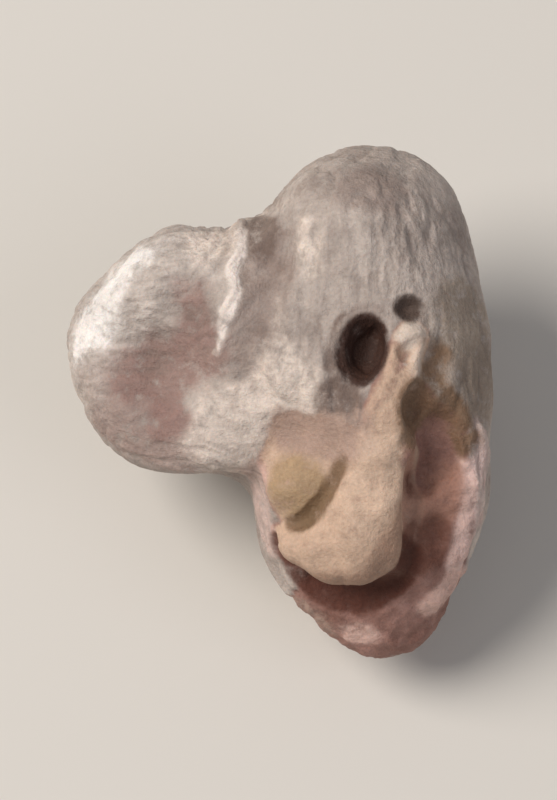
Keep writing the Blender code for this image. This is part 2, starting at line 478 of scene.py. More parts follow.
def grid_axes(cell):
    return [np.arange(low, high + cell, cell) for low, high in zip(SEARCH_LOW, SEARCH_HIGH)]


def sample(distance, axes, wanted=None):
    """The distance at each point of a grid, or only where it is wanted."""
    found = np.full([len(axis) for axis in axes], FAR, np.float32)
    plane = np.stack(np.meshgrid(axes[1], axes[2], indexing="ij"), -1)
    for i, x in enumerate(axes[0]):
        use = np.ones(plane.shape[:-1], bool) if wanted is None else wanted[i]
        chosen = plane[use]
        found[i][use] = distance(np.column_stack((np.full(len(chosen), x), chosen)))
    return found


def surface_net(field, axes):
    """One point for each cell that the surface crosses, and one quad for each such grid edge."""
    cells = np.array(field.shape) - 1
    strides = np.array([cells[1] * cells[2], cells[2], 1])
    sums = np.zeros((int(cells.prod()), 3))
    counts = np.zeros(int(cells.prod()))
    quads = []
    for axis in range(3):
        across, up = (axis + 1) % 3, (axis + 2) % 3
        first = field.take(range(field.shape[axis] - 1), axis)
        second = field.take(range(1, field.shape[axis]), axis)
        edges = np.argwhere((first < 0) != (second < 0))
        start, end = first[tuple(edges.T)], second[tuple(edges.T)]
        crossing = edges.astype(float)
        crossing[:, axis] += start / (start - end)
        ring = []
        for step_across, step_up in ((0, 0), (-1, 0), (-1, -1), (0, -1)):
            cell = edges.copy()
            cell[:, across] += step_across
            cell[:, up] += step_up
            index = cell @ strides
            np.add.at(sums, index, crossing)
            np.add.at(counts, index, 1)
            ring.append(index)
        ring = np.stack(ring, 1)
        ring[start > 0] = ring[start > 0][:, ::-1]
        quads.append(ring)
    used, corners = np.unique(np.concatenate(quads), return_inverse=True)
    points = sums[used] / counts[used, None] * (axes[0][1] - axes[0][0]) + np.array(SEARCH_LOW)
    return points, corners.reshape(-1, 4)


def near_skin(rough, rough_axes, axes):
    """Which grid points may lie within a rough cell of the skin, and which lie inside the kernel."""
    close = np.abs(rough) < NEAR
    nearest = [
        np.clip(np.rint((axis - rough_axis[0]) / ROUGH_CELL).astype(int), 0, len(rough_axis) - 1)
        for axis, rough_axis in zip(axes, rough_axes)
    ]
    inside = rough[np.ix_(*nearest)] < 0
    return close[np.ix_(*nearest)], inside


def slopes(distance, points):
    """How fast a distance grows along X, Y and Z."""
    steps = np.eye(3) * SLOPE_STEP
    rises = [distance(points + step) - distance(points - step) for step in steps]
    return np.stack(rises, -1) / (2 * SLOPE_STEP)


def settle(distance, points, rounds=2):
    """Moves points onto the surface."""
    for _ in range(rounds):
        slope = slopes(distance, points)
        steepness = np.maximum((slope**2).sum(-1), LEAST_SLOPE)
        points = points - (distance(points) / steepness)[:, None] * slope
    return points


LEANED = turn_matrix((LEAN, 0, 0))
rough_axes = grid_axes(ROUGH_CELL)
rough = sample(kernel_distance, rough_axes)
rough_points, _ = surface_net(rough, rough_axes)
leaned = settle(kernel_distance, rough_points) @ LEANED.T
low, high = leaned.min(0), leaned.max(0)
cad_size = (np.array(cad_high) - np.array(cad_low)) / MM
cad_size[2] += FLAT_SPOT_DEPTH
stretch = cad_size / (high - low)


def to_frame(points):
    """From the kernel's own millimetres to the frame's metres."""
    placed = (points @ LEANED.T - (low + high) / 2) * stretch
    placed[:, 2] += cad_size[2] / 2 - FLAT_SPOT_DEPTH
    return placed * MM


def resting_distance(points):
    """The kernel with its flat spot."""
    height = to_frame(points)[..., 2] / MM
    return cut(kernel_distance(points), height, SPOT_ROUNDING)


def make_skin_mesh():
    axes = grid_axes(SKIN_CELL)
    close, inside = near_skin(rough, rough_axes, axes)
    field = sample(resting_distance, axes, close)
    field[~close] = np.where(inside[~close], -FAR, FAR)
    points, quads = surface_net(field, axes)
    return settle(resting_distance, points), quads


# ---------------------------------------------------------------------------------------------
# Where each colour lies: one soft mask for each, as an attribute of the skin
# ---------------------------------------------------------------------------------------------

# A dab is full as far as its reach beyond its shape, and gone after its fade
Dab = namedtuple("Dab", "shape reach fade swayed", defaults=(True,))


def around(name, reach, fade, swayed=True):
    """Around a shape that is cut into the kernel or raised on it."""
    return Dab(SHAPES[name], reach, fade, swayed)


def spot(centre, radii, fade, turn=(0, 0, 0), reach=0.0):
    return Dab(set_on_skin(Egg(centre, radii, turn)), reach, fade)


def smear(points, radii, fade):
    """Along a line on the face. It is faint where its radius is below 0."""
    return Dab(set_on_skin(Rope(points, radii)), 0.0, fade)


def back_spot(centre, radii, fade):
    return Dab(set_on_back(Egg(centre, radii)), 0.0, fade)


# Path of a painted highlight along the horn's upper-left edge, partly pale powder
RIM_HIGHLIGHT_PATH = (
    (-8.5, 2.1, -0.5), (-8.2, 3.2, -0.4), (-7.6, 4.3, -0.4), (-6.9, 5.2, -0.4), (-6.1, 5.9, -0.5),
    (-5.1, 6.3, -0.6),
)
DABS = {
    "peeled": (
        around("tongue", 0.0, 0.7),
        around("left_strip", 0.0, 0.5),
        around("right_strip", 0.0, 0.3),
        around("nub", 0.1, 0.3),
        spot((1.6, -3.4, 0.0), (3.0, 2.6, 2.0), 1.2, turn=(0, 0, 20), reach=-0.2),
        spot((6.2, -4.9, -0.6), (1.75, 4.6, 2.6), 0.6, reach=0.1),
        smear(
            ((5.3, -1.6, -0.3), (5.5, -3.4, -0.6), (5.5, -5.0, -0.8), (5.2, -6.4, -0.8)),
            (0.4, 0.5, 0.5, 0.4),
            0.6,
        ),
        around("side_recess", 0.1, 0.5),
        spot((4.2, -8.9, -1.2), (3.7, 2.0, 3.2), 1.5, turn=(0, 0, 12), reach=-0.1),
    ),
    "starch": (
        around("tongue", 0.1, 0.25),
        around("left_strip", -0.1, 0.5),
        around("right_strip", 0.05, 0.3),
        around("nub", 0.1, 0.3),
        spot((1.8, -3.2, 0.0), (2.9, 2.6, 2.0), 0.9, turn=(0, 0, 20)),
    ),
    "white": (around("nub", 0.0, 0.4), around("right_strip", -0.15, 0.35)),
    # Painted highlight along the top of the tongue
    "tongue_highlight": (smear(((4.1, -2.2, 0.0), (3.6, -4.2, 0.0), (3.2, -5.4, 0.0)), (0.5, 0.5, 0.3), 1.2),),
    "ochre": (spot((0.8, -3.75, -0.4), (0.95, 1.2, 1.2), 0.9, turn=(0, 0, 8)),),
    "rose": (
        smear(((0.6, -1.3, 0.0), (1.8, -1.5, 0.0), (3.0, -1.4, 0.0)), (0.3, 0.4, 0.3), 1.5),
        smear(((0.9, -8.9, -0.3), (2.0, -9.8, -0.3)), (0.0, -0.1), 1.2),
    ),
    # A rosy tone, with painted highlights along the right edge and at the lower right
    "pink_and_highlight": (
        smear(((-1.1, -3.2, 0.0), (-1.0, -4.6, 0.0), (-0.7, -5.8, 0.0)), (0.3, 0.4, 0.3), 0.9),
        smear(((6.3, -8.7, -0.3), (6.8, -8.1, -0.3), (7.3, -7.3, -0.3)), (0.3, 0.4, 0.25), 0.8),
        smear(((2.9, -10.2, 0.0), (3.4, -10.1, 0.0)), (0.0, 0.1), 0.9),
        smear(((7.7, -2.9, -0.5), (8.2, -4.0, -0.2), (8.2, -5.0, -0.2)), (0.25, 0.3, 0.2), 0.8),
    ),
    # Olive-brown, with painted shade in the side hollows and dents right of the strip
    "recess_shade": (
        around("side_recess", 0.1, 0.6),
        around("side_dent", 0.0, 0.9),
        smear(((6.85, 2.0, 0.2), (6.6, 1.2, 0.2), (6.4, 0.4, 0.2)), (-0.1, 0.1, 0.2), 1.1),
        smear(((7.3, -1.0, 0.1), (7.8, -1.8, 0.1), (7.3, -2.3, 0.0)), (0.3, 0.35, 0.2), 0.8),
    ),
    # Dark brown in the large hole, painted darker still as painted shade
    "pit_brown_and_shade": (
        around("large_pit", 0.02, 0.45, swayed=False),
        around("large_pit_floor", 0.1, 0.35, swayed=False),
    ),
    # Painted shadow in the crevice under the tongue, and painted shade in the small hole of the hollow
    "crevice_and_hole_shade": (around("crevice", 0.0, 0.6), around("hollow_pit", -0.05, 0.45)),
    # Painted highlight along the raised right edge, which faces the light
    "right_edge_highlight": (around("right_rim", 0.0, 0.6),),
    # Painted shade in the small hole above the nub
    "small_pit_shade": (around("small_pit", -0.05, 0.5, swayed=False),),
    "seam_line": (around("seam", 0.0, 0.5),),
    "smudge": (
        smear(((-6.3, 0.9, 0.0), (-4.8, 1.5, 0.0), (-3.3, 2.0, 0.0)), (0.2, 0.5, 0.2), 1.9),
        smear(((-5.0, 1.0, 0.0), (-4.9, -0.9, 0.0)), (0.3, 0.2), 1.3),
        smear(((-4.0, 4.2, 0.0), (-3.8, 2.6, 0.0)), (0.0, 0.0), 1.7),
    ),
    # Painted highlight along the horn's upper-left edge, partly pale powder
    "rim_highlight_and_powder": (smear(RIM_HIGHLIGHT_PATH, (-0.3, 0.1, 0.2, 0.05, -0.2, -0.7), 1.9),),
    # Wide, faint spread of the painted highlight over the horn, partly pale powder
    "rim_highlight_and_powder_haze": (smear(RIM_HIGHLIGHT_PATH, (0.4, 0.8, 0.8, 0.8, 0.6, 0.3), 4.0),),
    # Pale powder along the crest, with a painted highlight on it
    "crest_powder_and_highlight": (
        smear(
            (
                (-1.75, 7.2, 0.1), (-1.9, 6.0, 0.1), (-2.15, 4.7, 0.1), (-2.5, 3.6, 0.1),
                (-2.8, 2.5, 0.1),
            ),
            (0.0, 0.02, 0.08, 0.12, -0.1),
            0.5,
        ),
    ),
    "shade": (
        around("fold", 0.0, 1.0),
        around("pit_groove", 0.0, 1.0),
        around("large_pit", 0.0, 0.8),
        spot((3.8, 8.9, 0.0), (1.0, 0.5, 0.8), 1.3),
    ),
    # Painted shade: darker in the fold, beside and below the large hole, and beside the left strip
    "dark_shade": (
        spot((-1.0, 7.1, 0.0), (0.4, 0.7, 1.2), 0.9),
        spot((2.15, -0.1, 0.0), (0.45, 0.7, 0.6), 0.9, turn=(0, 0, -35)),
        smear(((2.7, 3.2, 0.0), (2.4, 1.5, 0.0)), (0.2, 0.3), 0.7),
        spot((2.8, -0.7, 0.0), (0.25, 0.5, 0.6), 0.7),
    ),
    "back_stain": (
        around("dome_crease", 0.0, 1.4),
        around("second_crease", 0.0, 1.3),
        around("side_crease", 0.0, 1.3),
        around("horn_crease", 0.0, 1.4),
        around("horn_back_crease", 0.0, 1.1),
        around("hip_crease", 0.0, 1.3),
        back_spot((7.4, 8.0, -4.6), (0.8, 1.4, 1.2), 2.0),
        back_spot((-1.4, 8.0, -3.2), (0.9, 0.9, 1.0), 1.8),
    ),
    "back_blush": (
        back_spot((9.6, -1.6, -5.4), (1.2, 2.2, 1.4), 2.6),
        back_spot((-6.0, -1.6, -3.6), (2.0, 1.2, 1.0), 2.6),
        back_spot((1.0, 7.0, -7.0), (1.6, 1.4, 1.0), 2.8),
    ),
    "back_pale": (
        around("dome_ridge", 0.0, 1.4),
        around("side_ridge", 0.0, 1.4),
        back_spot((-7.2, 3.6, -3.4), (1.0, 1.6, 1.0), 2.0),
        back_spot((3.0, -8.6, -5.0), (1.4, 1.0, 1.0), 1.8),
    ),
    # Painted highlight on the lower body, where its face turns from the light, and on a band up the body; the
    # last smear is a pale patch at the crest's top
    "pale": (
        smear(
            ((-2.8, -1.7, 0.0), (-1.2, -1.4, 0.0), (0.2, 0.0, 0.0), (-0.2, 4.6, 0.0)),
            (0.2, 1.4, 0.6, -1.6),
            2.3,
        ),
        smear(((1.0, 7.4, 0.0), (1.2, 5.6, 0.0)), (-0.35, -0.35), 1.5),
        smear(((-1.6, 7.4, 0.0), (-3.0, 6.7, 0.0)), (0.5, 0.3), 1.6),
    ),
    # A rosier tone with painted shade on the horn's lower-left edge, which faces away from the light
    "blush_and_shade": (smear(((-7.5, 0.6, 0.0), (-7.0, -0.9, 0.0), (-4.8, -2.0, 0.0)), (0.5, 0.6, 0.4), 2.2),),
    # Painted shade along the tongue's lower and right side
    "tongue_shade": (
        smear(
            (
                (0.4, -6.9, 0.2), (1.7, -7.5, 0.2), (3.1, -7.4, 0.2), (4.2, -6.7, 0.2),
                (4.9, -5.7, 0.2), (5.0, -4.6, 0.2),
            ),
            (0.2, 0.3, 0.35, 0.25, 0.1, 0.0),
            1.0,
        ),
    ),
    "wall": (
        smear(
            ((5.5, -1.9, -0.5), (5.6, -3.4, -0.8), (5.65, -5.0, -1.0), (5.5, -6.1, -1.0)),
            (0.3, 0.45, 0.45, 0.3),
            0.6,
        ),
        spot((6.8, -3.9, -0.8), (0.4, 0.9, 0.6), 0.9),
    ),
    # Dark red-brown in the hollow, with painted shadow under the tongue and on its right wall
    "umber_and_shadow": (
        spot((6.2, -6.1, -0.6), (0.4, 0.6, 0.8), 1.1, turn=(0, 0, -15)),
        smear(
            ((1.5, -8.2, -0.3), (3.2, -8.6, -0.3), (4.6, -8.0, -0.3), (5.4, -7.0, -0.4)),
            (0.2, 0.25, 0.25, 0.2),
            0.9,
        ),
        smear(((5.45, -5.2, -0.9), (5.3, -6.0, -0.8), (5.0, -6.8, -0.6)), (0.0, 0.15, 0.15), 0.7),
    ),
    # A greenish-brown tint with painted shade on the right side, which turns away from the light
    "flank_tint_and_shade": (spot((7.8, 1.8, 0.0), (0.9, 2.4, 2.0), 1.8),),
}
# The depth mask paints shade into hollows: a dark red-brown that is strongest where they lie deepest
DEEP = 2.2  # millimetres below the whole kernel's skin at which a hollow is darkest

# The skin's wrinkles run up the body and out along the horn, and turn between these two places
BODY_SIDE = 0.5
HORN_SIDE = -4.0
WRINKLE_STRETCH = 0.22

BEND_REACH = 0.35  # millimetres over which the skin's bend is felt
SHARP_BEND = 1.6  # per millimetre
RIDGES_FROM, CREASES_FROM = 0.25, 0.1  # shares of a sharp bend
HELD = 0.8  # millimetres above the floor below which the wrinkles are pressed flat


def mask_of(points, dabs):
    moved = swayed(points, EDGE_SWAY)
    mask = np.zeros(len(points))
    for dab in dabs:
        beyond = (shape_distance(moved if dab.swayed else points, dab.shape) - dab.reach) / dab.fade
        share = np.clip(1 - beyond, 0, 1)
        mask = np.maximum(mask, share * share * (3 - 2 * share))
    return mask


def wrinkle_way(points):
    """Places in which even noise becomes wrinkles: squeezed along the way that they run."""
    along_horn = np.clip((BODY_SIDE - points[:, 0]) / (BODY_SIDE - HORN_SIDE), 0, 1)[:, None]
    up_body = points * (1.0, WRINKLE_STRETCH, 1.0)
    out_horn = points * (WRINKLE_STRETCH, 1.0, 1.0)
    return up_body + along_horn * (out_horn - up_body)


def bend_of(distance, points, reach):
    """How strongly the skin curves within that reach: above 0 on ridges, below 0 in creases."""
    nearby = [distance(points + sign * offset) for offset in np.eye(3) * reach for sign in (1, -1)]
    return (sum(nearby) - 6 * distance(points)) / reach**2


def add_mask(mesh, name, values):
    mesh.attributes.new(name, "FLOAT", "POINT").data.foreach_set("value", values.astype(np.float32))


def make_kernel():
    points, quads = make_skin_mesh()
    mesh = bpy.data.meshes.new("dried_kernel_skin")
    mesh.from_pydata(to_frame(points).tolist(), [], quads.tolist())
    for layer, dabs in DABS.items():
        add_mask(mesh, layer, mask_of(points, dabs))
    bend = bend_of(resting_distance, points, BEND_REACH) / SHARP_BEND
    add_mask(mesh, "ridge", np.clip(bend - RIDGES_FROM, 0, 1))
    add_mask(mesh, "crease", np.clip(-bend - CREASES_FROM, 0, 1))
    # Painted shade in hollows, by depth below the swellings' skin
    add_mask(mesh, "depth", np.clip(-swellings_distance(points) / DEEP, 0, 1))
    add_mask(mesh, "loose", np.clip(to_frame(points)[:, 2] / (HELD * MM), 0, 1))
    way = mesh.attributes.new("wrinkle_way", "FLOAT_VECTOR", "POINT")
    way.data.foreach_set("vector", (wrinkle_way(points) * MM).astype(np.float32).ravel())
    kernel = bpy.data.objects.new("dried_kernel_skin", mesh)
    bpy.context.scene.collection.objects.link(kernel)
    return kernel


# ---------------------------------------------------------------------------------------------
# Nodes
# ---------------------------------------------------------------------------------------------


def add(tree, kind, inputs=(), **settings):
    """Adds a node with its settings. An input is a value, or the output that it is linked to."""
    node = tree.nodes.new(kind)
    for name, value in settings.items():
        setattr(node, name, value)
    for key, value in dict(inputs).items():
        if isinstance(value, bpy.types.NodeSocket):
            tree.links.new(value, node.inputs[key])
        else:
            node.inputs[key].default_value = value
    return node


def hex_colour(text):
    """An sRGB hex colour as the linear colour that a shader takes."""
    channels = [int(text[i : i + 2], 16) / 255 for i in (1, 3, 5)]
    return tuple(c / 12.92 if c <= 0.04045 else ((c + 0.055) / 1.055) ** 2.4 for c in channels) + (1.0,)


WRINKLE_INPUTS = {
    # name: size in metres, or a share
    "Lump size": 3.2 * MM,
    "Lump height": 0.26 * MM,
    "Fold spacing": 1.5 * MM,
    "Fold depth": 0.1 * MM,
    "Wrinkle spacing": 0.55 * MM,
    "Wrinkle depth": 0.045 * MM,
    "Grain size": 0.5 * MM,
    "Grain height": 0.05 * MM,
    "Fracture size": 1.0 * MM,
    "Fracture height": 0.45 * MM,
    "Skin thickness": 0.06 * MM,
    "Tear size": 1.1 * MM,
    "Tear raggedness": 1.3,
}


# How near to its middle value a noise makes a crease
CREASE_WIDTHS = {"fold": 0.12, "wrinkle": 0.1}
TEAR_BAND = (0.35, 0.65)  # the skin thins out over this stretch of the torn mask
LUMP_BAND = 0.12  # how far the lump noise swings between a low and a smooth lump
SMOOTH_SHARE = 0.25  # how much of the wrinkling is left in smooth places and on bare starch


def dried_skin_tree(material):
    """Lumps, wrinkles along the kernel and a fine grain, and a thin skin torn off the starch below it."""
    tree = bpy.data.node_groups.new("dried_skin", "GeometryNodeTree")
    tree.interface.new_socket("Geometry", in_out="INPUT", socket_type="NodeSocketGeometry")
    for name in WRINKLE_INPUTS:
        tree.interface.new_socket(name, in_out="INPUT", socket_type="NodeSocketFloat")
    tree.interface.new_socket("Geometry", in_out="OUTPUT", socket_type="NodeSocketGeometry")
    given = add(tree, "NodeGroupInput").outputs
    place = add(tree, "GeometryNodeInputPosition").outputs[0]
    way = add(tree, "GeometryNodeInputNamedAttribute", {"Name": "wrinkle_way"},
              data_type="FLOAT_VECTOR").outputs[0]
    noises = {}
    for name, where, size, detail, distortion in (
        ("lump", place, "Lump size", 3.0, 0.0),
        ("fold", way, "Fold spacing", 1.0, 0.4),
        ("wrinkle", way, "Wrinkle spacing", 2.0, 0.6),
        ("grain", place, "Grain size", 3.0, 0.0),
        ("fracture", place, "Fracture size", 3.0, 0.6),
        ("tear", place, "Tear size", 3.0, 0.4),
    ):
        scale = add(tree, "ShaderNodeMath", {0: 1.0, 1: given[size]}, operation="DIVIDE").outputs[0]
        noise = add(tree, "ShaderNodeTexNoise",
                    {"Vector": where, "Scale": scale, "Detail": detail, "Distortion": distortion})
        centred = add(tree, "ShaderNodeMath", {0: noise.outputs[0], 1: 0.5}, operation="SUBTRACT")
        noises[name] = centred.outputs[0]
    masks = {
        name: add(tree, "GeometryNodeInputNamedAttribute", {"Name": name}, data_type="FLOAT").outputs[0]
        for name in ("peeled", "starch", "loose")
    }

    # a crease runs wherever a noise crosses its middle value
    creases = {}
    for name, width in CREASE_WIDTHS.items():
        size = add(tree, "ShaderNodeMath", {0: noises[name]}, operation="ABSOLUTE").outputs[0]
        creases[name] = add(tree, "ShaderNodeMapRange",
                            {"Value": size, "From Min": 0.0, "From Max": width, "To Min": 1.0, "To Max": 0.0},
                            interpolation_type="SMOOTHSTEP").outputs[0]

    # the skin ends in a ragged line
    edge = add(tree, "ShaderNodeMath", {0: noises["tear"], 1: given["Tear raggedness"], 2: masks["peeled"]},
               operation="MULTIPLY_ADD").outputs[0]
    bare = add(tree, "ShaderNodeMapRange",
               {"Value": edge, "From Min": TEAR_BAND[0], "From Max": TEAR_BAND[1]},
               interpolation_type="SMOOTHSTEP").outputs[0]
    broken = add(tree, "ShaderNodeMath", {0: bare, 1: masks["starch"]},
                 operation="SUBTRACT", use_clamp=True).outputs[0]
    skinned = add(tree, "ShaderNodeMapRange",
                  {"Value": bare, "To Min": 1.0, "To Max": SMOOTH_SHARE}).outputs[0]
    # wrinkles gather in the lows between the lumps and leave the lumps smooth
    gathered = add(tree, "ShaderNodeMapRange",
                   {"Value": noises["lump"], "From Min": -LUMP_BAND, "From Max": LUMP_BAND,
                    "To Min": 1.0, "To Max": SMOOTH_SHARE}).outputs[0]
    wrinkled = add(tree, "ShaderNodeMath", {0: skinned, 1: gathered}, operation="MULTIPLY").outputs[0]

    total = add(tree, "ShaderNodeMath", {0: noises["lump"], 1: given["Lump height"]},
                operation="MULTIPLY").outputs[0]
    for height, amount, share in (
        (noises["grain"], given["Grain height"], None),
        (noises["fracture"], given["Fracture height"], broken),
    ):
        part = add(tree, "ShaderNodeMath", {0: height, 1: amount}, operation="MULTIPLY").outputs[0]
        if share is not None:
            part = add(tree, "ShaderNodeMath", {0: part, 1: share}, operation="MULTIPLY").outputs[0]
        total = add(tree, "ShaderNodeMath", {0: total, 1: part}).outputs[0]
    for depth, amount, share in (
        (bare, given["Skin thickness"], None),
        (creases["fold"], given["Fold depth"], skinned),
        (creases["wrinkle"], given["Wrinkle depth"], wrinkled),
    ):
        part = add(tree, "ShaderNodeMath", {0: depth, 1: amount}, operation="MULTIPLY").outputs[0]
        if share is not None:
            part = add(tree, "ShaderNodeMath", {0: part, 1: share}, operation="MULTIPLY").outputs[0]
        total = add(tree, "ShaderNodeMath", {0: total, 1: part}, operation="SUBTRACT").outputs[0]
    push = add(tree, "ShaderNodeMath", {0: total, 1: masks["loose"]}, operation="MULTIPLY").outputs[0]
    normal = add(tree, "GeometryNodeInputNormal").outputs[0]
    offset = add(tree, "ShaderNodeVectorMath", {0: normal, "Scale": push}, operation="SCALE").outputs[0]
    skin = add(tree, "GeometryNodeSetPosition", {"Geometry": given["Geometry"], "Offset": offset}).outputs[0]
    # The wrinkles' crease lines, which the skin's colour makes darker
    wrinkle_lines = add(tree, "ShaderNodeMath", {0: creases["wrinkle"], 1: wrinkled}, operation="MULTIPLY").outputs[0]
    for name, value in (("bare", bare), ("wrinkle", wrinkle_lines)):
        skin = add(tree, "GeometryNodeStoreNamedAttribute", {"Geometry": skin, "Name": name, "Value": value},
                   data_type="FLOAT", domain="POINT").outputs[0]
    real = add(tree, "GeometryNodeRealizeInstances", {"Geometry": skin})
    dressed = add(tree, "GeometryNodeSetMaterial", {"Geometry": real.outputs[0], "Material": material})
    add(tree, "NodeGroupOutput", {"Geometry": dressed.outputs[0]})
    return tree


def grow_skin(kernel, material):
    """Gives the kernel its dried skin as a plain mesh."""
    modifier = kernel.modifiers.new("dried_skin", "NODES")
    modifier.node_group = dried_skin_tree(material)
    for socket in modifier.node_group.interface.items_tree:
        if socket.in_out == "INPUT" and socket.name in WRINKLE_INPUTS:
            modifier[socket.identifier] = WRINKLE_INPUTS[socket.name]
    graph = bpy.context.evaluated_depsgraph_get()
    mesh = bpy.data.meshes.new_from_object(
        kernel.evaluated_get(graph), preserve_all_data_layers=True, depsgraph=graph
    )
    kernel.modifiers.clear()
    kernel.data = mesh
    mesh.shade_smooth()


# ---------------------------------------------------------------------------------------------
# The skin's material
# ---------------------------------------------------------------------------------------------

SKIN_TONES = ("#a09188", "#c0b3a9")
BROKEN_TONES = ("#7f5547", "#ab857a")
# layer: colour, strength, how far noise breaks up its edge
SKIN_LAYERS = (
    ("back_blush", "#987c6f", 0.6, 0.8),
    ("back_pale", "#c6b9ad", 0.55, 0.8),
    ("back_stain", "#7d695c", 0.55, 0.8),
    ("shade", "#8b786f", 0.65, 0.5),
    # A rosier tone with painted shade on the horn's lower-left edge, which faces away from the light
    ("blush_and_shade", "#967b72", 0.65, 0.8),
    # Wide, faint spread of the painted highlight over the horn, partly pale powder
    ("rim_highlight_and_powder_haze", "#cabfb6", 0.5, 0.8),
    # Painted highlight on the lower body and on a band up the body, and a pale patch at the crest's top
    ("pale", "#e0d0c3", 0.85, 0.7),
    # Painted shade in the fold, beside the large hole and beside the left strip
    ("dark_shade", "#69564c", 0.85, 0.7),
    # A greenish-brown tint with painted shade on the right side, which turns away from the light
    ("flank_tint_and_shade", "#806e5a", 0.6, 0.8),
    ("smudge", "#8d6d64", 0.8, 0.7),
    ("rose", "#ab9284", 0.8, 0.8),
    # A rosy tone, with painted highlights along the right edge and at the lower right
    ("pink_and_highlight", "#c9aea4", 0.8, 0.6),
    # Painted highlight along the raised right edge, which faces the light
    ("right_edge_highlight", "#cdb2aa", 0.8, 0.6),
    ("crease", "#6f5a4e", 0.5, 0.3),
    ("wrinkle", "#7d6c62", 0.35, 0.6),
    # Painted highlight along the horn's upper-left edge, partly pale powder
    ("rim_highlight_and_powder", "#f2ebe5", 0.95, 0.6),
    # Pale powder along the crest, with a painted highlight on it
    ("crest_powder_and_highlight", "#ecdfd6", 0.95, 0.75),
    ("ridge", "#cdbfb4", 0.35, 0.5),
)
BARE_LAYERS = (
    ("starch", "#c6a891", 1.0, 0.4),
    ("rose", "#a68b7d", 0.9, 0.6),
    ("ochre", "#a88c6c", 0.95, 0.6),
    # Painted shade along the tongue's lower and right side
    ("tongue_shade", "#8d6b58", 0.7, 0.5),
    # Painted highlight along the top of the tongue
    ("tongue_highlight", "#d9bda6", 0.45, 0.5),
    ("white", "#d2c2b4", 0.9, 0.4),
    # A rosy tone, with painted highlights along the right edge and at the lower right
    ("pink_and_highlight", "#cdaa9d", 0.95, 0.7),
    # Painted highlight along the raised right edge, which faces the light
    ("right_edge_highlight", "#d2b4aa", 0.85, 0.6),
)
DEEP_LAYERS = (
    # Painted shade in hollows, strongest where they lie deepest
    ("depth", "#6a4434", 0.45, 0.3),
    ("wall", "#a67b69", 0.8, 0.5),
    # Dark red-brown in the hollow, with painted shadow under the tongue and on its right wall
    ("umber_and_shadow", "#683d2d", 0.75, 0.6),
    ("seam_line", "#6e5338", 0.85, 0.5),
    # Olive-brown, with painted shade in the side hollows and dents right of the strip
    ("recess_shade", "#775b43", 0.9, 0.6),
    # Painted shadow in the crevice under the tongue, and painted shade in the small hole of the hollow
    ("crevice_and_hole_shade", "#532614", 0.9, 0.4),
    # Painted shade in the small hole above the nub
    ("small_pit_shade", "#453329", 0.9, 0.5),
    # Dark brown in the large hole, painted darker still as painted shade
    ("pit_brown_and_shade", "#381c0e", 0.97, 0.45),
)
# noise: size in millimetres, detail, roughness, how much lighter and darker it makes the colour
SKIN_NOISES = {
    "mottle": (2.4, 6.0, 0.65, 0.12),
    "speck": (0.7, 5.0, 0.65, 0.11),
    "powder": (0.16, 3.0, 0.6, 0.1),
}
NOISE_RANGE = (0.3, 0.7)  # where nearly all of a noise lies
MASK_RANGE = (0.05, 0.95)
FINE_WRINKLE = 0.28  # millimetres between the finest wrinkles, which only the shading shows
POWDER_HEIGHT, SPECK_HEIGHT, FINE_WRINKLE_DEPTH = 0.012 * MM, 0.02 * MM, 0.05 * MM
SOFTNESS = 0.35 * MM  # how far light spreads below the skin


